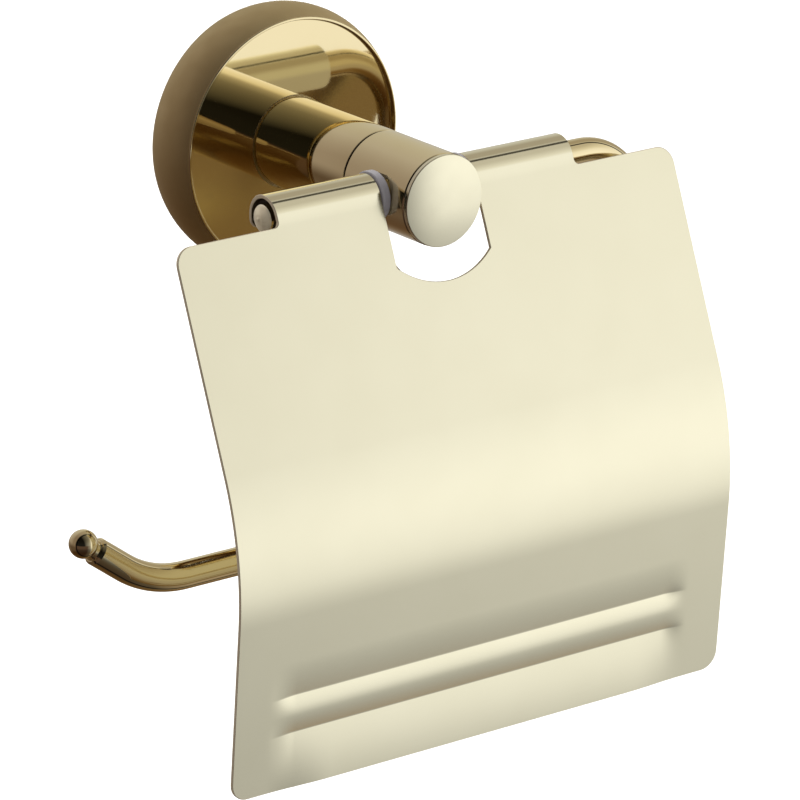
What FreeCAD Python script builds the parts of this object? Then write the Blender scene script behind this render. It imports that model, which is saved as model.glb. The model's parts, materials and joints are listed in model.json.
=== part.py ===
"""Wall-mounted toilet paper holder with a hinged lid: a round rosette, a straight post with a
cross-drilled head, a bent roll rod and a thin sheet lid whose rolled tabs swing on the rod.

Millimetres.  The wall is the plane y = 0 and the holder stands out of it towards -Y.
+X is to the right of somebody who faces the wall, +Z is up, and the origin is the centre of
the rosette's back face.  A "depth" below is a distance out from the wall, so y = -depth.
"""
import FreeCAD, Part
import math
import os

from FreeCAD import Vector

# ---- driving dimensions -------------------------------------------------------------------
ROSETTE_R = 27.5            # round cover cup on the wall: the rim of its front face
ROSETTE_BACK_R = 27.3       # at the wall
ROSETTE_BELLY_R = 29.2      # where its side bulges most, half-way out
ROSETTE_DEPTH = 14.0
FACE_DEPTH = 13.0           # the polished face lies a little behind the rim's thin lip
ROSETTE_WALL = 2.5
POST_R = 10.0               # straight post, and the head on its end
POST_END = 44.5             # depth of the joint between post and head
HEAD_END = 65.4             # depth of the head's front face
ROD_R = 3.0                 # one round rod carries the lid and the paper roll
HINGE_DEPTH = 56.0          # the rod's depth, and the lid's hinge axis
HINGE_Z = 0.5               # the hinge axis passes just above the post's centre line
BAR_Z = -72.9               # height of the lower, roll-carrying run of the rod
LID_W = 130.0
LID_BOTTOM_Z = -113.8
SHEET = 0.8                 # the lid's sheet metal
FIT = 0.05                  # radial running clearance of a plain plastic bearing

# ---- rosette and wall plate ---------------------------------------------------------------
ROSETTE_EDGE = 0.25         # chamfer round the lip
LIP_T = 0.6
SEAT_R = POST_R + 0.35      # shallow seat for the post's foot, with a fine shadow gap round it
SEAT_DEEP = 0.3
PLATE_R = 24.0
PLATE_T = 5.0
PLATE_BORE_R = 8.0          # clears the post bolt's head
PLATE_GROOVE = 1.4          # V-groove round the rim, for the point of the grub screw
GRUB_R = 2.0
WALL_HOLE_R = 2.6
WALL_HOLE_SPACING = 32.0

# ---- fasteners inside ---------------------------------------------------------------------
BOLT_R = 3.0
BOLT_HEAD_R = 5.0
BOLT_HEAD_T = 4.0
BOLT_END = 26.0             # depth that the post bolt reaches
WASHER_T = 1.2
STUD_R = 4.0
STUD_START, STUD_END = 37.0, 50.0
NECK_R = 9.1                # the fine groove between post and head runs down to this radius
NECK_T = 0.4

# ---- head ---------------------------------------------------------------------------------
CAP_R = 9.9                 # domed cap that covers the head's front
CAP_FLANGE = 0.6
CAP_DOME = 1.1
PLUG_R = 8.5                # the cap's plug is pressed into the head
PLUG_DEEP = 3.0
RIM_CHAMFER = 0.35
SPOT_R = 5.0                # spot faces on both sides, where the rod passes through
SPOT_X = math.sqrt(POST_R ** 2 - SPOT_R ** 2)
ROD_SCREW_R = 2.5           # axial grub screw behind the cap, which locks the rod

# ---- rod ----------------------------------------------------------------------------------
ROD_LEFT = -39.4            # left end of the upper run
LEG_X = 59.6                # the vertical leg on the right
LEG_BEND_R = 15.4
TIP_BEND_START = -58.6      # where the lower run begins to turn up
TIP_BEND_R = 26.0
TIP_ANGLE = 36.4            # degrees above the horizontal
TIP_STRAIGHT = 8.8
ROD_CHAMFER = 0.45
END_BUMP_R = 0.9            # centre bump left on the turned left end
NECK_BALL_R = 2.1           # turned neck behind the ball
BALL_R = 3.05
BALL_GAP = 3.3              # from the rod's shoulder to the ball's centre

# ---- lid ----------------------------------------------------------------------------------
CURL_R = 5.0                # outside of the rolled tabs
LEAN = 22.3                 # degrees that the upper plate leans out from the vertical
TUCK = 4.2                  # degrees that the lower plate leans back in
BULGE_R = 70.0              # soft bend between the two
BULGE_TOP_Z = -43.5         # where that bend begins, on the outer face
SHOULDER_Z = 0.1            # top edge of the plate on both sides of the tabs
TAB_IN, TAB_OUT = 12.3, 38.8
FLAP_END_Z = -3.0           # lower edge of the curl, behind the rod
FLAP_CORNER = 2.5
CORNER_R = 4.0              # outer corners of the lid
NOTCH_SIDE_Z = -12.2        # the notch's straight sides end here, in a shallow arc
NOTCH_BOTTOM_Z = -16.6
TAB_FILLET = 1.2
GROOVE_Z = (-93.1, -101.5)  # creases of the two pressed grooves across the lower plate
GROOVE_HALF_L = 55.5
GROOVE_HALF_H = 3.3
GROOVE_DEEP = 0.55

# ---- plastic bearings ---------------------------------------------------------------------
SPACER_R = 5.4
SPACER_IN, SPACER_OUT = POST_R + 0.02, 11.95
SLEEVE_IN = TAB_IN + 0.1
SLEEVE_OUT = TAB_OUT - 1.2

UP = Vector(0, 0, 1)


def line(start, end):
    """Straight edge."""
    return Part.LineSegment(start, end).toShape()


def turned(points, arc_from=None):
    """Solid of revolution about the post's axis, from (radius, depth) points in order.
    The three points from number arc_from on lie on an arc, all others are joined by lines."""
    corners = [Vector(r, -d, 0) for r, d in points + points[:1]]
    edges = []
    for i, (one, other) in enumerate(zip(corners, corners[1:])):
        if i == arc_from:
            edges.append(Part.Arc(one, other, corners[i + 2]).toShape())
        elif arc_from is None or i != arc_from + 1:
            edges.append(line(one, other))
    return Part.Face(Part.Wire(edges)).revolve(Vector(0, 0, 0), Vector(0, 1, 0), 360)


def along_y(radius, d0, d1, x=0.0, z=0.0):
    """Cylinder along the wall's normal, between two depths."""
    return Part.makeCylinder(radius, d1 - d0, Vector(x, -d0, z), Vector(0, -1, 0))


def along_x(radius, x0, x1, d=HINGE_DEPTH, z=HINGE_Z):
    """Cylinder parallel to the hinge axis."""
    return Part.makeCylinder(radius, x1 - x0, Vector(x0, -d, z), Vector(1, 0, 0))


def along_z(radius, z0, z1, d, x=0.0):
    """Upright cylinder."""
    return Part.makeCylinder(radius, z1 - z0, Vector(x, -d, z0), UP)


def hex_socket(across_flats, origin, direction, deep):
    """Hexagonal prism, for cutting the socket of a screw."""
    corner_r = across_flats / math.sqrt(3)
    angles = [math.radians(60 * i) for i in range(7)]
    corners = [Vector(corner_r * math.cos(a), corner_r * math.sin(a), 0) for a in angles]
    prism = Part.Face(Part.makePolygon(corners)).extrude(Vector(0, 0, deep))
    prism.Placement = FreeCAD.Placement(origin, FreeCAD.Rotation(UP, direction))
    return prism


# ---- wall side ----------------------------------------------------------------------------
def wall_plate():
    """Plate that is screwed to the wall, with a V-groove round its rim."""
    half = PLATE_T / 2
    body = turned([(PLATE_BORE_R, 0), (PLATE_R, 0), (PLATE_R, half - PLATE_GROOVE),
                   (PLATE_R - PLATE_GROOVE, half), (PLATE_R, half + PLATE_GROOVE),
                   (PLATE_R, PLATE_T), (PLATE_BORE_R, PLATE_T)])
    for side in (-1, 1):
        body = body.cut(along_y(WALL_HOLE_R, -1, PLATE_T + 1, side * WALL_HOLE_SPACING / 2))
    return body


def rosette():
    """Cup that hides the plate: open towards the wall, with a bulging side and a face inside a thin lip."""
    inner_r, inner_face, lip_r = ROSETTE_R - ROSETTE_WALL, FACE_DEPTH - ROSETTE_WALL, ROSETTE_R - LIP_T
    cup = turned([(0, inner_face), (inner_r, inner_face), (inner_r, 0), (ROSETTE_BACK_R, 0),
                  (ROSETTE_BELLY_R, ROSETTE_DEPTH / 2), (ROSETTE_R, ROSETTE_DEPTH - ROSETTE_EDGE),
                  (ROSETTE_R - ROSETTE_EDGE, ROSETTE_DEPTH), (lip_r, ROSETTE_DEPTH), (lip_r, FACE_DEPTH),
                  (0, FACE_DEPTH)], arc_from=3)
    cup = cup.cut(along_y(SEAT_R, FACE_DEPTH - SEAT_DEEP, FACE_DEPTH + 1))
    cup = cup.cut(along_y(BOLT_R + 0.2, 0, FACE_DEPTH + 1))
    return cup.cut(along_z(GRUB_R, -ROSETTE_BELLY_R - 1, -inner_r + 1, PLATE_T / 2))


def rosette_grub_screw():
    """Cone-point screw through the cup's underside, which bites into the plate's groove."""
    point_z = -(PLATE_R - PLATE_GROOVE + 0.1)
    shoulder_z = point_z - PLATE_GROOVE
    outer_z = -ROSETTE_R + 0.5
    body = along_z(GRUB_R, outer_z, shoulder_z, PLATE_T / 2)
    cone = Part.makeCone(PLATE_GROOVE, 0, PLATE_GROOVE, Vector(0, -PLATE_T / 2, shoulder_z), UP)
    return body.fuse(cone).cut(hex_socket(2.0, Vector(0, -PLATE_T / 2, outer_z), UP, 1.8))


def post_bolt():
    """Socket-head bolt from inside the cup into the post's foot."""
    seat = FACE_DEPTH - ROSETTE_WALL - WASHER_T
    bolt = along_y(BOLT_HEAD_R, seat - BOLT_HEAD_T, seat).fuse(along_y(BOLT_R, seat, BOLT_END))
    return bolt.cut(hex_socket(5.0, Vector(0, -(seat - BOLT_HEAD_T), 0), Vector(0, -1, 0), 2.4))


def post_lock_washer():
    """Split spring washer under the bolt's head."""
    inner_face = FACE_DEPTH - ROSETTE_WALL
    ring = along_y(BOLT_HEAD_R + 0.2, inner_face - WASHER_T, inner_face)
    ring = ring.cut(along_y(BOLT_R + 0.15, 0, FACE_DEPTH))
    split = Part.makeBox(0.8, 2 * WASHER_T + 1, BOLT_HEAD_R + 1, Vector(-0.4, -inner_face - 1, 0))
    return ring.cut(split)


# ---- post and head ------------------------------------------------------------------------
def post():
    """Straight bar with a tapped hole in each end."""
    foot = FACE_DEPTH - SEAT_DEEP
    bar = turned([(0, foot), (POST_R - 0.3, foot), (POST_R, foot + 0.3), (POST_R, POST_END - 0.15),
                  (POST_R - 0.15, POST_END), (0, POST_END)])
    bar = bar.cut(along_y(BOLT_R, foot - 1, BOLT_END + 1))
    return bar.cut(along_y(STUD_R, STUD_START - 1, POST_END + 1))


def head_stud():
    """Threaded stud that draws the head against the post."""
    return turned([(0, STUD_START), (STUD_R - 0.5, STUD_START), (STUD_R, STUD_START + 0.5),
                   (STUD_R, STUD_END - 0.5), (STUD_R - 0.5, STUD_END), (0, STUD_END)])


def head():
    """Cross-drilled head: narrow neck, cylinder, and a rim round the cap."""
    start = POST_END + NECK_T
    body = turned([(0, POST_END), (NECK_R, POST_END), (NECK_R, start), (POST_R - 0.15, start),
                   (POST_R, start + 0.15), (POST_R, HEAD_END - RIM_CHAMFER),
                   (POST_R - RIM_CHAMFER, HEAD_END), (0, HEAD_END)])
    body = body.cut(along_y(PLUG_R, HEAD_END - PLUG_DEEP, HEAD_END + 1))
    body = body.cut(along_y(STUD_R, POST_END - 1, STUD_END + 0.5))
    body = body.cut(along_y(ROD_SCREW_R, HINGE_DEPTH, HEAD_END, z=HINGE_Z))
    body = body.cut(along_x(ROD_R, -POST_R - 1, POST_R + 1))
    for x0, x1 in ((-POST_R - 1, -SPOT_X), (SPOT_X, POST_R + 1)):
        body = body.cut(along_x(SPOT_R, x0, x1))
    return body


def head_cap():
    """Plug with a thin flange and a low dome, pressed against the head's front."""
    back, rim = HEAD_END - PLUG_DEEP, HEAD_END + CAP_FLANGE
    sphere_r = (CAP_R ** 2 + CAP_DOME ** 2) / (2 * CAP_DOME)
    middle = math.asin(CAP_R / sphere_r) / 2
    dome_mid = (sphere_r * math.sin(middle), rim + CAP_DOME - sphere_r * (1 - math.cos(middle)))
    return turned([(0, back), (PLUG_R, back), (PLUG_R, HEAD_END), (CAP_R, HEAD_END), (CAP_R, rim), dome_mid,
                   (0, rim + CAP_DOME)], arc_from=4)


def rod_grub_screw():
    """Screw under the cap, pressing on the rod."""
    back, front = HINGE_DEPTH + ROD_R, HEAD_END - PLUG_DEEP - 0.1
    screw = along_y(ROD_SCREW_R, back, front, z=HINGE_Z)
    return screw.cut(hex_socket(2.5, Vector(0, -front, HINGE_Z), Vector(0, 1, 0), 1.6))


# ---- rod ----------------------------------------------------------------------------------
def rod_point(x, z):
    """Point in the rod's plane, parallel to the wall."""
    return Vector(x, -HINGE_DEPTH, z)


def bend(centre_x, centre_z, radius, start, end):
    """Arc in the rod's plane, between two angles in degrees."""
    def at(angle):
        a = math.radians(angle)
        return rod_point(centre_x + radius * math.cos(a), centre_z + radius * math.sin(a))
    return Part.Arc(at(start), at((start + end) / 2), at(end)).toShape()


def roll_rod():
    """Upper run, leg, lower run and the turned-up tip with its ball, bent from one rod."""
    turn_x = LEG_X - LEG_BEND_R
    tip = math.radians(TIP_ANGLE)
    bend_end = (TIP_BEND_START - TIP_BEND_R * math.sin(tip), BAR_Z + TIP_BEND_R * (1 - math.cos(tip)))
    way = Vector(-math.cos(tip), 0, math.sin(tip))
    shoulder = rod_point(*bend_end) + way * TIP_STRAIGHT

    path = Part.Wire([
        line(rod_point(ROD_LEFT, HINGE_Z), rod_point(turn_x, HINGE_Z)),
        bend(turn_x, HINGE_Z - LEG_BEND_R, LEG_BEND_R, 90, 0),
        line(rod_point(LEG_X, HINGE_Z - LEG_BEND_R), rod_point(LEG_X, BAR_Z + LEG_BEND_R)),
        bend(turn_x, BAR_Z + LEG_BEND_R, LEG_BEND_R, 0, -90),
        line(rod_point(turn_x, BAR_Z), rod_point(TIP_BEND_START, BAR_Z)),
        bend(TIP_BEND_START, BAR_Z + TIP_BEND_R, TIP_BEND_R, -90, -90 - TIP_ANGLE),
        line(rod_point(*bend_end), shoulder),
    ])
    section = Part.Wire([Part.Circle(rod_point(ROD_LEFT, HINGE_Z), Vector(1, 0, 0), ROD_R).toShape()])
    rod = path.makePipeShell([section], True, False)
    end_centres = (rod_point(ROD_LEFT, HINGE_Z), shoulder)
    end_rims = [e for e in rod.Edges if min((e.CenterOfMass - c).Length for c in end_centres) < 0.01]
    rod = rod.makeChamfer(ROD_CHAMFER, end_rims)
    neck = Part.makeCylinder(NECK_BALL_R, BALL_GAP, shoulder - way * 0.5, way)
    ball = Part.makeSphere(BALL_R, shoulder + way * BALL_GAP)
    end_bump = Part.makeSphere(END_BUMP_R, rod_point(ROD_LEFT + 0.1, HINGE_Z))
    return rod.fuse([neck, ball, end_bump]).removeSplitter()


# ---- lid ----------------------------------------------------------------------------------
def lid_profile():
    """Points of the plate's outer face as (depth, z): curl tangent, bend start, bend end, bottom."""
    lean, tuck = math.radians(LEAN), math.radians(TUCK)
    tangent = (HINGE_DEPTH + CURL_R * math.cos(lean), HINGE_Z + CURL_R * math.sin(lean))
    bulge_top = (tangent[0] + (tangent[1] - BULGE_TOP_Z) * math.tan(lean), BULGE_TOP_Z)
    centre = (bulge_top[0] - BULGE_R * math.cos(lean), bulge_top[1] - BULGE_R * math.sin(lean))
    bulge_end = (centre[0] + BULGE_R * math.cos(tuck), centre[1] - BULGE_R * math.sin(tuck))
    bottom = (bulge_end[0] - (bulge_end[1] - LID_BOTTOM_Z) * math.tan(tuck), LID_BOTTOM_Z)
    return tangent, bulge_top, centre, bulge_end, bottom


def plate_strip(outer, x0, x1):
    """Sheet plate between two offsets measured in from its outer face, extruded along X."""
    lean, tuck = math.radians(LEAN), math.radians(TUCK)
    tangent, bulge_top, centre, bulge_end, bottom = lid_profile()
    middle = (lean - tuck) / 2

    def line_of(inset):
        top = (tangent[0] - inset * math.cos(lean), tangent[1] - inset * math.sin(lean))
        start = (bulge_top[0] - inset * math.cos(lean), bulge_top[1] - inset * math.sin(lean))
        radius = BULGE_R - inset
        mid = (centre[0] + radius * math.cos(middle), centre[1] + radius * math.sin(middle))
        end = (bulge_end[0] - inset * math.cos(tuck), bulge_end[1] + inset * math.sin(tuck))
        low = (bottom[0] - inset * math.cos(tuck), bottom[1] + inset * math.sin(tuck))
        return [Vector(x0, -d, z) for d, z in (top, start, mid, end, low)]

    front, back = line_of(outer), line_of(SHEET)
    edges = []
    for side in (front, back):
        edges += [line(side[0], side[1]), Part.Arc(side[1], side[2], side[3]).toShape(),
                  line(side[3], side[4])]
    edges += [line(front[0], back[0]), line(front[4], back[4])]
    face = Part.Face(Part.Wire(Part.__sortEdges__(edges)))
    return face.extrude(Vector(x1 - x0, 0, 0))


def rounded(points_and_radii, y0, y1):
    """Prism along Y from an outline of (x, z, corner radius)."""
    corners = [(Vector(x, y0, z), r) for x, z, r in points_and_radii]
    edges = []
    joints = []
    count = len(corners)
    for i, (point, radius) in enumerate(corners):
        to_last = (corners[i - 1][0] - point).normalize()
        to_next = (corners[(i + 1) % count][0] - point).normalize()
        half = math.acos(max(-1, min(1, to_last.dot(to_next)))) / 2
        if radius:
            reach = radius / math.tan(half)
            start, end = point + to_last * reach, point + to_next * reach
            centre = point + (to_last + to_next).normalize() * (radius / math.sin(half))
            mid = centre + (point - centre).normalize() * radius
            arc = Part.Arc(start, mid, end).toShape()
            edges.append(arc)
        else:
            start = end = point
        joints.append((start, end))
    for i, (start, _) in enumerate(joints):
        edges.append(line(joints[i - 1][1], start))
    return Part.Face(Part.Wire(Part.__sortEdges__(edges))).extrude(Vector(0, y1 - y0, 0))


def tab(x0, x1):
    """Rolled tab: round the rod from the plate's top and down behind it."""
    lean = math.radians(LEAN)

    def ring(radius):
        start = Vector(x0, -(HINGE_DEPTH + radius * math.cos(lean)), HINGE_Z + radius * math.sin(lean))
        top = Vector(x0, -HINGE_DEPTH, HINGE_Z + radius)
        back = Vector(x0, -(HINGE_DEPTH - radius), HINGE_Z)
        low = Vector(x0, -(HINGE_DEPTH - radius), FLAP_END_Z)
        return start, top, back, low

    outer, inner = ring(CURL_R), ring(CURL_R - SHEET)
    edges = []
    for side in (outer, inner):
        edges += [Part.Arc(side[0], side[1], side[2]).toShape(), line(side[2], side[3])]
    edges += [line(outer[0], inner[0]), line(outer[3], inner[3])]
    curl = Part.Face(Part.Wire(Part.__sortEdges__(edges))).extrude(Vector(x1 - x0, 0, 0))
    top = 4 * CURL_R
    flap = [(x0, top, 0), (x1, top, 0), (x1, FLAP_END_Z, FLAP_CORNER), (x0, FLAP_END_Z, FLAP_CORNER)]
    outline = rounded(flap, -HINGE_DEPTH - 0.01, -HINGE_DEPTH + 2 * CURL_R)
    corner = Vector(x0, -HINGE_DEPTH - 2 * CURL_R, -2 * CURL_R)
    front_half = Part.makeBox(x1 - x0, 2 * CURL_R, top, corner)
    return curl.common(outline.fuse(front_half))


def lid_outline():
    """Front view of the whole plate, with the tabs' lower parts and the notch for the head."""
    half, up = LID_W / 2, 20.0
    plate = rounded([(-half, SHOULDER_Z, CORNER_R), (-TAB_OUT, SHOULDER_Z, TAB_FILLET), (-TAB_OUT, up, 0),
                     (TAB_OUT, up, 0), (TAB_OUT, SHOULDER_Z, TAB_FILLET), (half, SHOULDER_Z, CORNER_R),
                     (half, LID_BOTTOM_Z, CORNER_R), (-half, LID_BOTTOM_Z, CORNER_R)], -120, 0)
    left, right = Vector(-TAB_IN, -120, NOTCH_SIDE_Z), Vector(TAB_IN, -120, NOTCH_SIDE_Z)
    low = Vector(0, -120, NOTCH_BOTTOM_Z)
    top_left, top_right = Vector(-TAB_IN, -120, up + 1), Vector(TAB_IN, -120, up + 1)
    notch = Part.Wire([line(top_left, left), Part.Arc(left, low, right).toShape(),
                       line(right, top_right),
                       line(top_right, top_left)])
    return plate.cut(Part.Face(notch).extrude(Vector(0, 120, 0)))


def groove(z, inset):
    """Long low wedge for one pressed groove, its flat side on the sheet at the given inset."""
    tuck = math.radians(TUCK)
    bottom = lid_profile()[4]
    depth = bottom[0] + (z - LID_BOTTOM_Z) * math.tan(tuck) - inset * math.cos(tuck)
    length = GROOVE_HALF_L - GROOVE_HALF_H
    corners = [(0, GROOVE_HALF_H), (0, -GROOVE_HALF_H), (GROOVE_DEEP, 0), (0, GROOVE_HALF_H)]
    section = Part.makePolygon([Vector(-length, y, z_) for y, z_ in corners])
    bar = Part.Face(section).extrude(Vector(2 * length, 0, 0))
    for end in (-length, length):
        bar = bar.fuse(Part.makeCone(GROOVE_HALF_H, 0, GROOVE_DEEP, Vector(end, 0, 0), Vector(0, 1, 0)))
    turn = FreeCAD.Rotation(Vector(1, 0, 0), TUCK)
    bar.Placement = FreeCAD.Placement(Vector(0, -depth, z + inset * math.sin(tuck)), turn)
    return bar


def lid():
    """One sheet: plate with shoulders and notch, two rolled tabs and two pressed grooves."""
    half = LID_W / 2
    sheet = plate_strip(0.0, -half, half).common(lid_outline())
    for x0, x1 in ((-TAB_OUT, -TAB_IN), (TAB_IN, TAB_OUT)):
        sheet = sheet.fuse(tab(x0, x1))
    for z in GROOVE_Z:
        sheet = sheet.fuse(groove(z, SHEET - 0.01)).cut(groove(z, -0.01))
    return sheet.removeSplitter()


# ---- plastic bearings ---------------------------------------------------------------------
def ring_on_rod(radius, x0, x1):
    """Plastic ring that turns on the rod."""
    return along_x(radius, x0, x1).cut(along_x(ROD_R + FIT, x0 - 1, x1 + 1))


NODES = {
    "wall_plate": wall_plate,
    "rosette": rosette,
    "rosette_grub_screw": rosette_grub_screw,
    "post_bolt": post_bolt,
    "post_lock_washer": post_lock_washer,
    "post": post,
    "head_stud": head_stud,
    "head": head,
    "head_cap": head_cap,
    "rod_grub_screw": rod_grub_screw,
    "roll_rod": roll_rod,
    "spacer_left": lambda: ring_on_rod(SPACER_R, -SPACER_OUT, -SPACER_IN),
    "spacer_right": lambda: ring_on_rod(SPACER_R, SPACER_IN, SPACER_OUT),
    "lid": lid,
    "hinge_sleeve_left": lambda: ring_on_rod(CURL_R - SHEET, -SLEEVE_OUT, -SLEEVE_IN),
    "hinge_sleeve_right": lambda: ring_on_rod(CURL_R - SHEET, SLEEVE_IN, SLEEVE_OUT),
}

os.makedirs("parts", exist_ok=True)
for name, make in NODES.items():
    shape = make()
    solids = len(shape.Solids)
    assert shape.isValid() and solids == 1, (name, shape.isValid(), solids)
    shape.exportStep("parts/" + name + ".step")
    box = shape.BoundBox
    low, high = (box.XMin, box.YMin, box.ZMin), (box.XMax, box.YMax, box.ZMax)
    print("OK", name, round(shape.Volume), [round(v, 1) for v in low + high])
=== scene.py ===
"""Looks of a wall-mounted toilet paper holder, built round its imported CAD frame.

Shapes are worked out in millimetres in the frame's axes: the wall is y = 0, a "depth" is a distance out
from it (y = -depth), +X is to the right and +Z is up.  add_piece() turns them into metres.
"""

import json
import math

import bmesh
import bpy
from mathutils import Matrix, Vector
from mathutils.geometry import delaunay_2d_cdt

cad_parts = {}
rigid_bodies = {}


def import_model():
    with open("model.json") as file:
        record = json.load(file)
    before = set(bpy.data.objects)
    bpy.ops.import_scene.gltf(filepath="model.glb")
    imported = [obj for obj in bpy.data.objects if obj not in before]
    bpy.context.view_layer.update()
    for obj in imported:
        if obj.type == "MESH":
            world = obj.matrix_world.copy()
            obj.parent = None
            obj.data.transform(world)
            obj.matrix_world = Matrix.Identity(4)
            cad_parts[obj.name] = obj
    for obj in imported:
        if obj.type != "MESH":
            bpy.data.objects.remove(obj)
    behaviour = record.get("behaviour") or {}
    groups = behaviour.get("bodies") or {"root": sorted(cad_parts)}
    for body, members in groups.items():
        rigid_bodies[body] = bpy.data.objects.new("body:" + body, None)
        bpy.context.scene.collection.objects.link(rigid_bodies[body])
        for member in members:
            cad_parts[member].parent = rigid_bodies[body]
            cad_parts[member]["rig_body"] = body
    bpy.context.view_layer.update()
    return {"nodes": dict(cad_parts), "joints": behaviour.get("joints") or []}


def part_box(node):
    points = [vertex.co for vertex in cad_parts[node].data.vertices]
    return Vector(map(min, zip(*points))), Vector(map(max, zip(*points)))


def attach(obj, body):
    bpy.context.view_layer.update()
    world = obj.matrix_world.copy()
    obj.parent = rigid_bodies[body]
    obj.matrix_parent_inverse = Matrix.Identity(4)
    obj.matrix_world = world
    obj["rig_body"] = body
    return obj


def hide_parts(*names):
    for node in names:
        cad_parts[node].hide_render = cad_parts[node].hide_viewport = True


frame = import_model()
scene = bpy.context.scene
MM = 0.001


def box_mm(node):
    """Corners of a CAD node in millimetres."""
    low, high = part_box(node)
    return low / MM, high / MM


# ---- sizes read from the frame ------------------------------------------------------------
HINGE = Vector(frame["joints"][0]["pos_m"]) / MM
HINGE_DEPTH, HINGE_Z = -HINGE.y, HINGE.z
rosette_low, rosette_high = box_mm("rosette")
ROSETTE_BELLY_R = (rosette_high.x - rosette_low.x) / 2
ROSETTE_DEPTH = -rosette_low.y
post_low, post_high = box_mm("post")
POST_R = (post_high.x - post_low.x) / 2
POST_FOOT, POST_END = -post_high.y, -post_low.y
SEAT_DEEP = 0.3             # the post's foot sits this far below the rosette's face
FACE_DEPTH = POST_FOOT + SEAT_DEEP
HEAD_END = -box_mm("head")[0].y
cap_low, cap_high = box_mm("head_cap")
CAP_R = (cap_high.x - cap_low.x) / 2
CAP_TOP, CAP_BACK = -cap_low.y, -cap_high.y
rod_low, rod_high = box_mm("roll_rod")
BALL_R, BALL_PROUD = 3.05, 0.05     # the ball on the rod's tip is a little thicker than the rod
ROD_R = (rod_high.y - rod_low.y) / 2 - BALL_PROUD
lid_low, lid_high = box_mm("lid")
LID_HALF_W = lid_high.x
LID_BOTTOM_Z = lid_low.z
CURL_R = lid_high.z - HINGE_Z
spacer_low, spacer_high = box_mm("spacer_right")
SPACER_R = (spacer_high.z - spacer_low.z) / 2
sleeve_low, sleeve_high = box_mm("hinge_sleeve_right")
SLEEVE_R = (sleeve_high.z - sleeve_low.z) / 2

# ---- sizes of the details -----------------------------------------------------------------
ROSETTE_R, ROSETTE_BACK_R = 27.5, 27.3
ROSETTE_WALL, LIP_T, EDGE_R = 2.5, 0.6, 0.25
POST_SEAT_GAP, BOLT_R = 0.35, 3.2
CAP_FLANGE, CAP_GAP, PLUG_R = 0.95, 0.02, 8.5

ROD_LEFT = -39.4            # where the rod's turned left end begins
LEG_X, LEG_BEND_R = 59.6, 15.4
BAR_Z = -72.9
TIP_BEND_START, TIP_BEND_R, TIP_ANGLE, TIP_STRAIGHT = -58.6, 26.0, 36.4, 8.8
BALL_GAP, NECK_R = 3.3, 2.1

SHEET = 0.8                 # the lid's thickness
SHEET_EDGE = 0.12           # rounding of its cut edges
LEAN, TUCK = 22.3, 4.2      # degrees that the upper plate leans out and the lower plate tucks in
BULGE_R, BULGE_TOP_Z = 70.0, -43.5
SHOULDER_Z, FLAP_END_Z = 0.1, -3.0
TAB_IN, TAB_OUT, TAB_FILLET = 12.3, 38.8, 1.2
CORNER_R, FLAP_CORNER = 4.0, 2.5
NOTCH_SIDE_Z, NOTCH_BOTTOM_Z = -12.2, -16.6

GROOVES = (-93.1, -101.5)   # heights of the two pressed valleys
GROOVE_LEFT, GROOVE_RIGHT, GROOVE_FADE = -56.5, 55.5, 7.0
GROOVE_DEEP = 0.62
MARGIN_PROUD, MARGIN_FADE = 0.6, 16.0   # the sheet's margin below the grooves swells outwards

BORE_PLAY = 0.05            # between the rod and a plastic ring


# ---- shape helpers ------------------------------------------------------------------------
def rounded(corners, steps=6, closed=False):
    """Corner points (a, b, radius) as a line with an arc at each corner that has a radius."""
    line = []
    count = len(corners)
    for i, (a, b, radius) in enumerate(corners):
        here = Vector((a, b))
        if not radius or (not closed and i in (0, count - 1)):
            line.append(here)
            continue
        before = (Vector(corners[i - 1][:2]) - here).normalized()
        after = (Vector(corners[(i + 1) % count][:2]) - here).normalized()
        half = before.angle(after) / 2
        reach = radius / math.tan(half)
        centre = here + (before + after).normalized() * (radius / math.sin(half))
        start = (here + before * reach - centre).normalized()
        end = (here + after * reach - centre).normalized()
        line += [centre + start.slerp(end, k / steps) * radius for k in range(steps + 1)]
    return line


def walk(start, heading, stretches):
    """Path of straight (length, None) and right-turning (length, radius) stretches, in a plane.
    Returns a function of the distance walked, which gives the two coordinates and the heading."""
    def at(distance):
        a, b, angle = start[0], start[1], heading
        left = distance
        for i, (length, radius) in enumerate(stretches):
            step = left if i == len(stretches) - 1 else min(left, length)
            if radius:
                a -= radius * (math.cos(angle + math.pi / 2) - math.cos(angle - step / radius + math.pi / 2))
                b -= radius * (math.sin(angle + math.pi / 2) - math.sin(angle - step / radius + math.pi / 2))
                angle -= step / radius
            else:
                a += step * math.cos(angle)
                b += step * math.sin(angle)
            left -= step
            if left <= 0:
                break
        return a, b, angle
    return at


def rings(bm, stations, place, count=96, closed=False):
    """Skin over rings given as (along, radius, material); radius 0 closes an end with a point."""
    loops = []
    for along, radius, _ in stations:
        steps = count if radius > 0 else 1
        loops.append([bm.verts.new(place(along, radius, 2 * math.pi * k / count)) for k in range(steps)])
    pairs = list(zip(loops, loops[1:], [s[2] for s in stations]))
    if closed:
        pairs.append((loops[-1], loops[0], stations[-1][2]))
    for one, other, material in pairs:
        for k in range(count):
            m = k + 1
            corners = [one[k % len(one)], one[m % len(one)], other[m % len(other)], other[k % len(other)]]
            face = bm.faces.new(list(dict.fromkeys(corners)))
            face.material_index = material


def about_post(along, radius, angle):
    """Point on a ring round the post's axis; along is a depth."""
    return Vector((radius * math.cos(angle), -along, radius * math.sin(angle)))


def about_hinge(along, radius, angle):
    """Point on a ring round the hinge axis; along is x."""
    return Vector((along, -HINGE_DEPTH + radius * math.cos(angle), HINGE_Z + radius * math.sin(angle)))


def stations_of(line, material=0):
    """A rounded (radius, along) line as ring stations."""
    return [(p.y, max(p.x, 0.0), material) for p in line]


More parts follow.
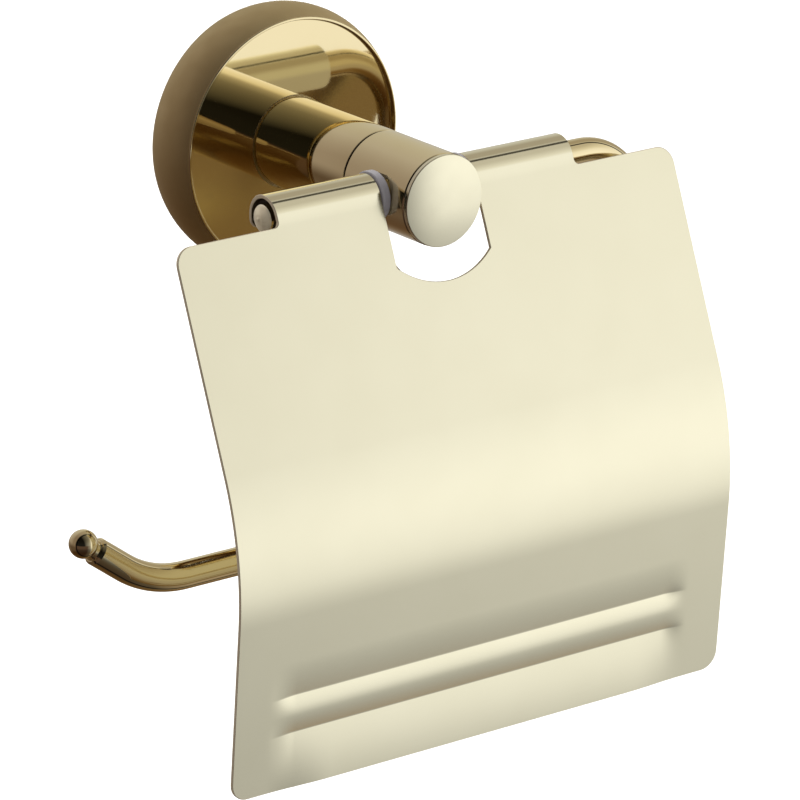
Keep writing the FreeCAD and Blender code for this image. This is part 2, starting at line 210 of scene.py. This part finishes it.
def add_piece(name, bm, materials, nodes, crease=32, normals=None):
    """Turns a bmesh in millimetres into a piece that stands for CAD nodes and rides on their body.
    normals maps a vertex's number to its exact shading normal, on the faces of material 0."""
    bmesh.ops.scale(bm, vec=(MM, MM, MM), verts=bm.verts)
    bmesh.ops.recalc_face_normals(bm, faces=bm.faces)
    mesh = bpy.data.meshes.new(name)
    bm.to_mesh(mesh)
    bm.free()
    mesh.polygons.foreach_set("use_smooth", [True] * len(mesh.polygons))
    mesh.set_sharp_from_angle(angle=math.radians(crease))
    if normals:
        loops = [corner.vector.copy() for corner in mesh.corner_normals]
        for face in mesh.polygons:
            if face.material_index == 0:
                for i in face.loop_indices:
                    loops[i] = normals[mesh.loops[i].vertex_index]
        mesh.normals_split_custom_set(loops)
    for material in materials:
        mesh.materials.append(material)
    piece = bpy.data.objects.new(name, mesh)
    scene.collection.objects.link(piece)
    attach(piece, frame["nodes"][nodes[0]]["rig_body"])
    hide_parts(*nodes)
    return piece


# ---- materials ----------------------------------------------------------------------------
def surface(name, **values):
    """New material with its shader's uniform values set."""
    material = bpy.data.materials.new(name)
    material.use_nodes = True
    shader = material.node_tree.nodes["Principled BSDF"]
    for key, value in values.items():
        shader.inputs[key.replace("_", " ")].default_value = value
    return material


def noise(material, scale, detail=3.0, stretch=(1, 1, 1)):
    """Noise in the object's own space; scale is in waves per metre."""
    nodes, links = material.node_tree.nodes, material.node_tree.links
    coords = nodes.new("ShaderNodeTexCoord")
    mapping = nodes.new("ShaderNodeMapping")
    mapping.inputs["Scale"].default_value = stretch
    texture = nodes.new("ShaderNodeTexNoise")
    texture.inputs["Scale"].default_value = scale
    texture.inputs["Detail"].default_value = detail
    links.new(coords.outputs["Object"], mapping.inputs["Vector"])
    links.new(mapping.outputs["Vector"], texture.inputs["Vector"])
    return texture.outputs["Fac"]


def vary_colour(material, factor, one, other):
    """Base colour between two tones."""
    nodes, links = material.node_tree.nodes, material.node_tree.links
    ramp = nodes.new("ShaderNodeValToRGB")
    ramp.color_ramp.elements[0].position = 0.3
    ramp.color_ramp.elements[1].position = 0.7
    ramp.color_ramp.elements[0].color = (*one, 1)
    ramp.color_ramp.elements[1].color = (*other, 1)
    links.new(factor, ramp.inputs["Fac"])
    links.new(ramp.outputs["Color"], nodes["Principled BSDF"].inputs["Base Color"])


def vary_roughness(material, factor, low, high):
    """Roughness between two values."""
    nodes, links = material.node_tree.nodes, material.node_tree.links
    spread = nodes.new("ShaderNodeMapRange")
    spread.inputs["From Min"].default_value = 0.3
    spread.inputs["From Max"].default_value = 0.7
    spread.inputs["To Min"].default_value = low
    spread.inputs["To Max"].default_value = high
    links.new(factor, spread.inputs["Value"])
    links.new(spread.outputs["Result"], nodes["Principled BSDF"].inputs["Roughness"])


def bump(material, factor, distance):
    """Fine relief; distance is in metres."""
    nodes, links = material.node_tree.nodes, material.node_tree.links
    relief = nodes.new("ShaderNodeBump")
    relief.inputs["Strength"].default_value = 1.0
    relief.inputs["Distance"].default_value = distance
    links.new(factor, relief.inputs["Height"])
    links.new(relief.outputs["Normal"], nodes["Principled BSDF"].inputs["Normal"])


def shinier_above(material, height, below, above):
    """Roughness that falls from one value to another over 2 mm, at a height on the piece."""
    nodes, links = material.node_tree.nodes, material.node_tree.links
    coords = nodes.new("ShaderNodeTexCoord")
    parts = nodes.new("ShaderNodeSeparateXYZ")
    spread = nodes.new("ShaderNodeMapRange")
    spread.inputs["From Min"].default_value = (height - 1) * MM
    spread.inputs["From Max"].default_value = (height + 1) * MM
    spread.inputs["To Min"].default_value = below
    spread.inputs["To Max"].default_value = above
    links.new(coords.outputs["Object"], parts.inputs["Vector"])
    links.new(parts.outputs["Z"], spread.inputs["Value"])
    links.new(spread.outputs["Result"], nodes["Principled BSDF"].inputs["Roughness"])


def metal(name, tones, rough, relief, grain_scale, grain=(1, 1, 1), patch_scale=60, metallic=1.0):
    """Plated metal: two close tones in soft patches, a roughness range and a fine directional grain.
    relief is in metres, grain_scale and patch_scale in waves per metre."""
    material = surface(name, Metallic=metallic)
    vary_colour(material, noise(material, patch_scale, 2.0), *tones)
    if rough:
        vary_roughness(material, noise(material, patch_scale * 4, 4.0), *rough)
    bump(material, noise(material, grain_scale, 3.0, grain), relief)
    return material


PALE_GOLD = ((0.91, 0.865, 0.655), (0.89, 0.845, 0.635))
GOLD = ((0.86, 0.745, 0.47), (0.84, 0.72, 0.44))
POLISHED_GOLD = ((0.86, 0.74, 0.455), (0.84, 0.72, 0.435))
SIDE_GOLD = ((0.84, 0.70, 0.41), (0.82, 0.68, 0.39))
TURNED_GOLD = ((0.88, 0.80, 0.62), (0.80, 0.71, 0.53))
RAW_EDGE = ((0.74, 0.64, 0.48), (0.62, 0.53, 0.40))
ZINC_GREY = ((0.62, 0.62, 0.60), (0.50, 0.50, 0.50))

satin_side = metal("satin_gold_side", SIDE_GOLD, (0.60, 0.68), 1.0e-6, 5000)
glossy_head = metal("glossy_gold_head", GOLD, (0.10, 0.14), 1.0e-6, 400)
satin_cap = metal("satin_gold_cap", PALE_GOLD, (0.20, 0.24), 1.0e-6, 5000)
satin_sheet = metal("satin_sheet", PALE_GOLD, None, 1.2e-6, 1200, grain=(0.03, 1, 1))
shinier_above(satin_sheet, HINGE_Z + 0.5, 0.22, 0.09)
cut_edge = metal("sheet_cut_edge", RAW_EDGE, (0.30, 0.45), 4.0e-6, 4000, grain=(0.2, 1, 1), metallic=0.6)
polished = metal("polished_gold", POLISHED_GOLD, (0.03, 0.05), 2.0e-6, 180)
turned_end = metal("turned_gold", TURNED_GOLD, (0.30, 0.38), 2.0e-6, 3000, grain=(0.1, 1, 1), metallic=0.5)
zinc = metal("zinc_plated_steel", ZINC_GREY, (0.28, 0.48), 8.0e-6, 2500, grain=(1, 0.15, 1), patch_scale=200)

smoky = surface("smoky_plastic", Transmission_Weight=0.35, IOR=1.46, Specular_IOR_Level=0.4)
vary_colour(smoky, noise(smoky, 300), (0.48, 0.46, 0.49), (0.42, 0.40, 0.43))
vary_roughness(smoky, noise(smoky, 900), 0.32, 0.45)
bump(smoky, noise(smoky, 4000), 3.0e-6)

dark_plastic = surface("dark_plastic", IOR=1.5)
vary_colour(dark_plastic, noise(dark_plastic, 500), (0.020, 0.013, 0.009), (0.035, 0.022, 0.015))
vary_roughness(dark_plastic, noise(dark_plastic, 1500), 0.45, 0.65)
bump(dark_plastic, noise(dark_plastic, 5000), 6.0e-6)


# ---- rosette, post and head ---------------------------------------------------------------
def arc_radius(depth):
    """Radius of the rosette's bulging side at a depth: one arc through back, belly and front rim."""
    half = (ROSETTE_DEPTH - EDGE_R) / 2
    middle = (ROSETTE_BACK_R + ROSETTE_R) / 2
    rise = ROSETTE_BELLY_R - middle
    arc_r = (half ** 2 + rise ** 2) / (2 * rise)
    tilt = (ROSETTE_R - ROSETTE_BACK_R) * (depth - half) / (2 * half)
    return middle + tilt + math.sqrt(arc_r ** 2 - (depth - half) ** 2) - (arc_r - rise)


def make_rosette():
    """Cup with a mirror face inside a polished lip, a satin side and a seat for the post's foot."""
    seat_r = POST_R + POST_SEAT_GAP
    inner_r, inner_face = ROSETTE_R - ROSETTE_WALL, FACE_DEPTH - ROSETTE_WALL
    lip_r = ROSETTE_R - LIP_T
    front = rounded([(seat_r, FACE_DEPTH, 0), (lip_r, FACE_DEPTH, 0.3), (lip_r, ROSETTE_DEPTH, 0.12),
                     (ROSETTE_R, ROSETTE_DEPTH, EDGE_R), (ROSETTE_R, ROSETTE_DEPTH - 1, 0)])[:-1]
    face_r = lip_r - 0.4
    stations = [(FACE_DEPTH, seat_r + (face_r - seat_r) * k / 12, 0) for k in range(13)]
    stations += stations_of(front[1:])
    side_start, side_end, side_steps = stations[-1][0], 0.3, 40
    stations[-1] = (side_start, ROSETTE_R, 1)
    for k in range(1, side_steps + 1):
        depth = side_start + (side_end - side_start) * k / side_steps
        stations.append((depth, arc_radius(depth), 1))
    inside = rounded([(ROSETTE_BACK_R, side_end, 0), (ROSETTE_BACK_R, 0, 0.25), (inner_r, 0, 0.4),
                      (inner_r, inner_face, 1.0), (BOLT_R, inner_face, 0.2),
                      (BOLT_R, FACE_DEPTH - SEAT_DEEP, 0.1), (seat_r, FACE_DEPTH - SEAT_DEEP, 0)])
    stations += stations_of(inside[1:], 1)
    bm = bmesh.new()
    rings(bm, stations, about_post, 192, closed=True)
    return add_piece("rosette_cup", bm, [polished, satin_side], ["rosette"])


def make_post():
    """Polished straight bar."""
    outline = rounded([(0, POST_FOOT, 0), (POST_R, POST_FOOT, 0.25), (POST_R, POST_END, 0.15),
                       (0, POST_END, 0)])
    bm = bmesh.new()
    rings(bm, stations_of(outline), about_post, 160)
    return add_piece("post_bar", bm, [polished], ["post"])


def make_cap():
    """Thin flange with a low dome and a rounded rim, on a plug that is pressed into the head."""
    round_over, dome_steps, rim_steps = 0.2, 32, 6
    back, rim = HEAD_END + CAP_GAP, HEAD_END + CAP_FLANGE
    dome = CAP_TOP - rim
    sphere_r = (CAP_R ** 2 + dome ** 2) / (2 * dome)
    limit = math.asin((CAP_R - round_over) / sphere_r)
    stations = []
    for k in range(dome_steps + 1):
        angle = limit * k / dome_steps
        stations.append((CAP_TOP - sphere_r * (1 - math.cos(angle)), sphere_r * math.sin(angle), 0))
    dome_edge = stations[-1][0]
    for k in range(1, rim_steps + 1):
        angle = limit + (math.pi / 2 - limit) * k / rim_steps
        stations.append((dome_edge - round_over * (math.cos(limit) - math.cos(angle)),
                         CAP_R - round_over * (1 - math.sin(angle)), 0))
    stations += stations_of(rounded([(CAP_R, rim - 0.3, 0), (CAP_R, back, 0.06), (PLUG_R, back, 0),
                                     (PLUG_R, CAP_BACK, 0.2), (0, CAP_BACK, 0)]))
    bm = bmesh.new()
    rings(bm, stations, about_post, 160)
    return add_piece("head_cap_dome", bm, [satin_cap], ["head_cap"])


# ---- rod ----------------------------------------------------------------------------------
def make_rod():
    """One rod: turned left end, upper run, leg, roll bar, turned-up tip with neck and ball."""
    quarter = LEG_BEND_R * math.pi / 2
    turn_x = LEG_X - LEG_BEND_R
    tip = math.radians(TIP_ANGLE)
    stretches = [(turn_x - ROD_LEFT, None), (quarter, LEG_BEND_R), (HINGE_Z - BAR_Z - 2 * LEG_BEND_R, None),
                 (quarter, LEG_BEND_R), (turn_x - TIP_BEND_START, None), (TIP_BEND_R * tip, TIP_BEND_R),
                 (TIP_STRAIGHT, None)]
    at = walk((ROD_LEFT, HINGE_Z), 0.0, stretches)
    length = sum(s[0] for s in stretches)

    def place(along, radius, angle):
        if along < 0:
            x, z, heading = ROD_LEFT + along, HINGE_Z, 0.0
        else:
            x, z, heading = at(along)
        out = radius * math.cos(angle)
        return Vector((x - out * math.sin(heading), -HINGE_DEPTH + radius * math.sin(angle),
                       z + out * math.cos(heading)))

    turned_steps = [(-1.0, 0), (-0.98, 0.18), (-0.72, 0.42), (-0.6, 0.62), (-0.6, 0.78), (-0.5, 1.25),
                    (-0.46, 1.3), (-0.42, 1.35), (-0.26, 1.9), (-0.22, 1.95), (-0.18, 2.0), (-0.02, 2.5),
                    (0.2, 2.8)]
    stations = [(along, radius, 1) for along, radius in turned_steps]
    stations.append((0.5, ROD_R, 0))
    done = 0.0
    for stretch, radius in stretches:
        steps = max(2, int(stretch / (0.6 if radius else 3.0)))
        stations += [(done + stretch * k / steps, ROD_R, 0) for k in range(1, steps + 1)]
        done += stretch
    stations[-1] = (length - 0.5, ROD_R, 0)     # the last ring makes room for a bevelled shoulder
    stations += [(length, ROD_R - 0.45, 0), (length + 0.02, NECK_R + 0.25, 0), (length + 0.25, NECK_R, 0)]
    ball_centre, ball_steps = length + BALL_GAP, 32
    ball_arc = math.pi - math.asin(NECK_R / BALL_R)
    for k in range(ball_steps):
        angle = ball_arc - ball_arc * k / ball_steps
        stations.append((ball_centre + BALL_R * math.cos(angle), BALL_R * math.sin(angle), 0))
    stations.append((ball_centre + BALL_R, 0.0, 0))
    bm = bmesh.new()
    rings(bm, stations, place, 64)
    return add_piece("roll_rod_bent", bm, [polished, turned_end], ["roll_rod"])


# ---- lid ----------------------------------------------------------------------------------
def eased(share):
    """Smooth step from 0 to 1."""
    share = min(1.0, max(0.0, share))
    return share * share * (3 - 2 * share)


def pressed(x, z):
    """How far the sheet is pressed in at a point of its lower plate; the margin below stands proud."""
    upper, lower = GROOVES
    margin = lower - LID_BOTTOM_Z
    total = 0.0
    for valley, above, below in ((upper, 8.0, 4.4), (lower, 4.6, margin)):
        share = abs(z - valley) / (above if z > valley else below)
        total += GROOVE_DEEP * max(0.0, 1 - share) ** 2
    end = min(x - GROOVE_LEFT, GROOVE_RIGHT - x)
    proud = MARGIN_PROUD * max(0.0, lower - z) / margin
    return total * eased(end / GROOVE_FADE) - proud * eased(end / MARGIN_FADE)


def make_lid():
    """One sheet: rolled tabs, notch, shoulders, bulge and two pressed grooves."""
    lean, tuck = math.radians(LEAN), math.radians(TUCK)
    curl = CURL_R * (math.pi - lean)
    tangent_z = HINGE_Z + CURL_R * math.sin(lean)
    plate = (tangent_z - BULGE_TOP_Z) / math.cos(lean)
    bend = BULGE_R * (lean + tuck)
    bend_end_z = BULGE_TOP_Z - BULGE_R * (math.sin(lean) + math.sin(tuck))
    lower = (bend_end_z - LID_BOTTOM_Z) / math.cos(tuck)
    flap = HINGE_Z - FLAP_END_Z
    at = walk((HINGE_DEPTH - CURL_R, FLAP_END_Z), math.pi / 2,
              [(flap, None), (curl, CURL_R), (plate, None), (bend, BULGE_R), (lower, None)])
    total = flap + curl + plate + bend + lower

    def distance_at(z):
        """Distance walked where the plate is at that height, above or below the bulge."""
        if z > BULGE_TOP_Z:
            return flap + curl + (tangent_z - z) / math.cos(lean)
        return total - (z - LID_BOTTOM_Z) / math.cos(tuck)

    def place(x, s, inset):
        depth, z, heading = at(s)
        inset += pressed(x, z) if z < bend_end_z else 0.0
        out = heading + math.pi / 2
        return Vector((x, -(depth - inset * math.cos(out)), z - inset * math.sin(out)))

    def normal_at(x, s):
        """Exact outward direction of the front face."""
        step = 0.02
        along = place(x, s + step, 0.0) - place(x, s - step, 0.0)
        across = place(x + step, s, 0.0) - place(x - step, s, 0.0)
        return along.cross(across).normalized()

    def outline(grow, step=0.7):
        """Right half of the flat outline, mirrored, in short steps; grow moves it outwards."""
        drop = NOTCH_SIDE_Z - NOTCH_BOTTOM_Z
        arc_r = (TAB_IN ** 2 + drop ** 2) / (2 * drop)
        sweep = math.asin(TAB_IN / arc_r)
        inner, outer, wide = TAB_IN - grow, TAB_OUT + grow, LID_HALF_W + grow
        notch = []
        for k in range(13):
            angle = sweep * k / 12
            z = NOTCH_BOTTOM_Z + (arc_r - grow) * (1 - math.cos(angle)) + grow
            notch.append(Vector(((arc_r - grow) * math.sin(angle), distance_at(z))))
        notch[-1].x = inner
        shoulder = distance_at(SHOULDER_Z) - grow
        half = notch + rounded([(inner, notch[-1].y, 0), (inner, -grow, FLAP_CORNER),
                                (outer, -grow, FLAP_CORNER), (outer, shoulder, TAB_FILLET),
                                (wide, shoulder, CORNER_R), (wide, total + grow, CORNER_R),
                                (0, total + grow, 0)], 8)[1:]
        dense = []
        for one, other in zip(half, half[1:]):
            pieces = max(1, round((other - one).length / step))
            dense += [one.lerp(other, k / pieces) for k in range(pieces)]
        dense.append(half[-1])
        return dense + [Vector((-p.x, p.y)) for p in reversed(dense[1:-1])]

    # the mesh's rows run down the sheet and its columns across, both closer together at the grooves
    rows = [flap * k / 4 for k in range(5)] + [flap + curl * k / 40 for k in range(1, 41)]
    rows += [flap + curl + plate * k / 24 for k in range(1, 25)]
    rows += [flap + curl + plate + bend * k / 24 for k in range(1, 25)]
    zone_top, zone_bottom, zone_rows = -84.8, -109.2, 61
    rows += [distance_at(zone_top + (zone_bottom - zone_top) * k / zone_rows) for k in range(zone_rows + 1)]
    rows += [distance_at(z) for z in (*GROOVES, -110.6, -112.2)]
    columns = [LID_HALF_W * k / 26 for k in range(-26, 27)]
    groove_ends = [48.3 + 0.5 * k for k in range(17)]
    columns += [side * x for side in (-1, 1) for x in groove_ends]

    inner_line, outer_line = outline(-SHEET_EDGE), outline(0.0)
    points = inner_line + [Vector((x, s)) for x in sorted(columns) for s in sorted(rows)]
    flat, _, faces, origin, _, _ = delaunay_2d_cdt(points, [], [list(range(len(inner_line)))], 1, 1e-5)

    bm = bmesh.new()
    front = [bm.verts.new(place(p.x, p.y, 0.0)) for p in flat]
    back = [bm.verts.new(place(p.x, p.y, SHEET)) for p in flat]
    for face in faces:
        bm.faces.new([front[i] for i in face])
        bm.faces.new([back[i] for i in reversed(face)])
    number = {source: i for i, sources in enumerate(origin) for source in sources}
    rims = [[front[number[k]] for k in range(len(inner_line))],
            [bm.verts.new(place(p.x, p.y, SHEET_EDGE)) for p in outer_line],
            [bm.verts.new(place(p.x, p.y, SHEET - SHEET_EDGE)) for p in outer_line],
            [back[number[k]] for k in range(len(inner_line))]]
    for one, other in zip(rims, rims[1:]):
        for k in range(len(inner_line)):
            m = (k + 1) % len(inner_line)
            face = bm.faces.new([one[k], one[m], other[m], other[k]])
            face.material_index = 1
    bm.verts.index_update()
    normals = {}
    for one, other, p in zip(front, back, flat):
        normals[one.index] = normal_at(p.x, p.y)
        normals[other.index] = -normals[one.index]
    return add_piece("lid_sheet", bm, [satin_sheet, cut_edge], ["lid"], normals=normals)


# ---- plastic bearings ---------------------------------------------------------------------
def make_bearing(name, node, material, radius, round_over):
    """Plain plastic ring on the rod."""
    low, high = box_mm(node)
    bore = ROD_R + BORE_PLAY
    line = rounded([(bore, low.x, 0.15), (radius, low.x, round_over), (radius, high.x, round_over),
                    (bore, high.x, 0.15)], 5, closed=True)
    bm = bmesh.new()
    rings(bm, stations_of(line), about_hinge, 72, closed=True)
    return add_piece(name, bm, [material], [node])


make_rosette()
make_post()
make_cap()
make_rod()
make_lid()
for side in ("left", "right"):
    make_bearing("spacer_ring_" + side, "spacer_" + side, smoky, SPACER_R, 0.35)
    make_bearing("sleeve_ring_" + side, "hinge_sleeve_" + side, dark_plastic, SLEEVE_R, 0.2)


def dress(node, material):
    """Puts a material on a CAD node that stays as it is."""
    slots = frame["nodes"][node].data.materials
    slots.clear()
    slots.append(material)


dress("head", glossy_head)
for name in ("wall_plate", "rosette_grub_screw", "post_bolt", "post_lock_washer", "head_stud",
             "rod_grub_screw"):
    dress(name, zinc)


# ---- studio -------------------------------------------------------------------------------
def facing(direction):
    """Rotation that turns a panel's -Z towards the object from that direction."""
    return Vector(direction).to_track_quat("Z", "Y")


def softbox(name, direction, distance, width, height, radiance):
    """Area light aimed at the object; radiance 1 is paper white."""
    light = bpy.data.lights.new(name, "AREA")
    light.shape = "RECTANGLE"
    light.size, light.size_y = width, height
    light.energy = radiance * math.pi * width * height
    lamp = bpy.data.objects.new(name, light)
    lamp.location = Vector(direction).normalized() * distance
    lamp.rotation_mode = "QUATERNION"
    lamp.rotation_quaternion = facing(direction)
    lamp.visible_camera = False
    scene.collection.objects.link(lamp)
    return lamp


def grey(value):
    """The same value in all three channels."""
    return (value, value, value)


def graded(tree, value, stops, ease="LINEAR"):
    """Colour over a value between -1 and 1, from (value, colour) stops."""
    spread = tree.nodes.new("ShaderNodeMapRange")
    spread.inputs["From Min"].default_value = -1
    spread.inputs["From Max"].default_value = 1
    ramp = tree.nodes.new("ShaderNodeValToRGB")
    ramp.color_ramp.interpolation = ease
    marks = ramp.color_ramp.elements
    while len(marks) < len(stops):
        marks.new(0.5)
    for mark, (place, colour) in zip(marks, stops):
        mark.position = (place + 1) / 2
        mark.color = (*colour, 1)
    tree.links.new(value, spread.inputs["Value"])
    tree.links.new(spread.outputs["Result"], ramp.inputs["Fac"])
    return ramp.outputs["Color"]


def blended(tree, one, other, share=None):
    """Mixes two colours by a share, or multiplies them where no share is given."""
    mix = tree.nodes.new("ShaderNodeMix")
    mix.data_type = "RGBA"
    if share:
        tree.links.new(share, mix.inputs["Factor"])
    else:
        mix.blend_type = "MULTIPLY"
        mix.inputs["Factor"].default_value = 1.0
    colours = [socket for socket in mix.inputs if socket.type == "RGBA"]
    tree.links.new(one, colours[0])
    tree.links.new(other, colours[1])
    return next(socket for socket in mix.outputs if socket.type == "RGBA")


def make_tent():
    """Light tent that shows only in reflections: bright cloth to the right, open and dark to the left."""
    bm = bmesh.new()
    bmesh.ops.create_icosphere(bm, subdivisions=5, radius=3.0)
    mesh = bpy.data.meshes.new("tent")
    bm.to_mesh(mesh)
    bm.free()
    mesh.polygons.foreach_set("use_smooth", [True] * len(mesh.polygons))
    material = bpy.data.materials.new("tent")
    material.use_nodes = True
    tree = material.node_tree
    tree.nodes.remove(tree.nodes["Principled BSDF"])
    coords = tree.nodes.new("ShaderNodeTexCoord")
    unit = tree.nodes.new("ShaderNodeVectorMath")
    unit.operation = "NORMALIZE"
    parts = tree.nodes.new("ShaderNodeSeparateXYZ")
    tree.links.new(coords.outputs["Object"], unit.inputs[0])
    tree.links.new(unit.outputs["Vector"], parts.inputs["Vector"])
    x, y, z = parts.outputs

    # the half in front: dark to the left, bright cloth to the right, a dark gap overhead
    upper = graded(tree, x, [(-0.42, grey(0.012)), (-0.22, grey(0.12)), (0.0, grey(0.22)),
                             (0.227, grey(0.33)), (0.43, grey(0.58)), (0.52, grey(1.0))])
    lower = graded(tree, x, [(-0.1, (0.085, 0.055, 0.045)), (0.3, grey(0.28)), (0.45, grey(0.78)),
                             (0.52, grey(1.0))])
    level = graded(tree, z, [(-0.04, grey(0.0)), (0.04, grey(1.0))], "EASE")
    height = graded(tree, z, [(-0.8, (0.33, 0.27, 0.21)), (-0.6, grey(0.40)), (-0.433, grey(0.57)),
                              (-0.35, grey(0.87)), (-0.15, grey(1.0)), (0.0, grey(1.0)),
                              (0.29, grey(0.90)), (0.45, (0.74, 0.72, 0.66)), (0.7, (0.52, 0.49, 0.43))])
    gap = graded(tree, y, [(-0.15, grey(1.0)), (-0.12, grey(0.12)), (0.0, grey(0.12)), (0.05, grey(1.0))])
    front = blended(tree, lower, upper, share=level)
    front = blended(tree, front, height)
    front = blended(tree, front, gap)

    # the half behind: paler towards the right and above, brown below
    behind_up = graded(tree, x, [(-0.6, (0.31, 0.265, 0.24)), (0.0, (0.46, 0.43, 0.41)),
                                 (0.577, (0.52, 0.50, 0.44))])
    behind_low = graded(tree, x, [(-0.6, (0.10, 0.07, 0.05)), (0.0, (0.18, 0.135, 0.11)),
                                  (0.42, (0.34, 0.31, 0.30)), (0.577, (0.40, 0.38, 0.37))])
    overhead = graded(tree, y, [(0.5, (0.70, 0.65, 0.60)), (0.72, grey(1.0))])
    behind_up = blended(tree, behind_up, overhead)
    rise = graded(tree, z, [(-0.35, grey(0.0)), (0.1, grey(1.0))], "EASE")
    under = graded(tree, z, [(-0.8, (0.44, 0.31, 0.15)), (-0.7, (0.50, 0.36, 0.20)), (-0.51, grey(1.0))])
    behind = blended(tree, behind_low, behind_up, share=rise)
    behind = blended(tree, behind, under)

    join = graded(tree, y, [(0.06, grey(0.0)), (0.16, grey(1.0))])
    colour = blended(tree, front, behind, share=join)
    glow = tree.nodes.new("ShaderNodeEmission")
    glow.inputs["Strength"].default_value = 1.12
    tree.links.new(colour, glow.inputs["Color"])
    tree.links.new(glow.outputs["Emission"], tree.nodes["Material Output"].inputs["Surface"])
    material.cycles.emission_sampling = "NONE"
    mesh.materials.append(material)
    tent = bpy.data.objects.new("tent", mesh)
    tent.visible_camera = tent.visible_diffuse = tent.visible_transmission = tent.visible_shadow = False
    scene.collection.objects.link(tent)


world = bpy.data.worlds.new("studio")
world.use_nodes = True
world.node_tree.nodes["Background"].inputs["Color"].default_value = (0.46, 0.45, 0.43, 1)
world.cycles_visibility.glossy = False
scene.world = world

FLOOR_Z, FLOOR_HALF = -0.70, 9
floor_mesh = bpy.data.meshes.new("floor")
corners = [(-1, -1), (1, -1), (1, 1), (-1, 1)]
floor_mesh.from_pydata([(a * FLOOR_HALF, b * FLOOR_HALF, FLOOR_Z) for a, b in corners], [], [(0, 1, 2, 3)])
floor = bpy.data.objects.new("floor", floor_mesh)
pale = surface("pale_floor", Base_Color=(0.86, 0.86, 0.85, 1), Roughness=0.9)
floor_mesh.materials.append(pale)
scene.collection.objects.link(floor)
floor.visible_glossy = False

floor_light = softbox("floor_light", (0.35, 0.9, 0.55), 2.2, 3.0, 3.0, 3.0)
floor_light.rotation_quaternion = facing((0, 0, 1))     # straight down, to keep the floor white
floor_light.visible_glossy = False
softbox("fill", (-0.5, -0.8, 0.9), 2.4, 1.6, 1.6, 0.6).visible_glossy = False

make_tent()

# ---- camera -------------------------------------------------------------------------------
AIM = Vector((-0.0086, -0.0633, -0.0427))
AZIMUTH, ELEVATION, ROLL = math.radians(-37.61), math.radians(19.073), math.radians(0.7)
DISTANCE, LENS = 1.1699, 251.9      # metres, and millimetres of focal length
back = Vector((math.sin(AZIMUTH) * math.cos(ELEVATION), -math.cos(AZIMUTH) * math.cos(ELEVATION),
               math.sin(ELEVATION)))
lens = bpy.data.cameras.new("camera")
lens.lens = LENS
camera = bpy.data.objects.new("camera", lens)
camera.rotation_mode = "QUATERNION"
camera.rotation_quaternion = back.to_track_quat("Z", "Y") @ Matrix.Rotation(ROLL, 3, "Z").to_quaternion()
camera.location = AIM + back * DISTANCE
scene.collection.objects.link(camera)
scene.camera = camera
scene.view_settings.view_transform = "Standard"
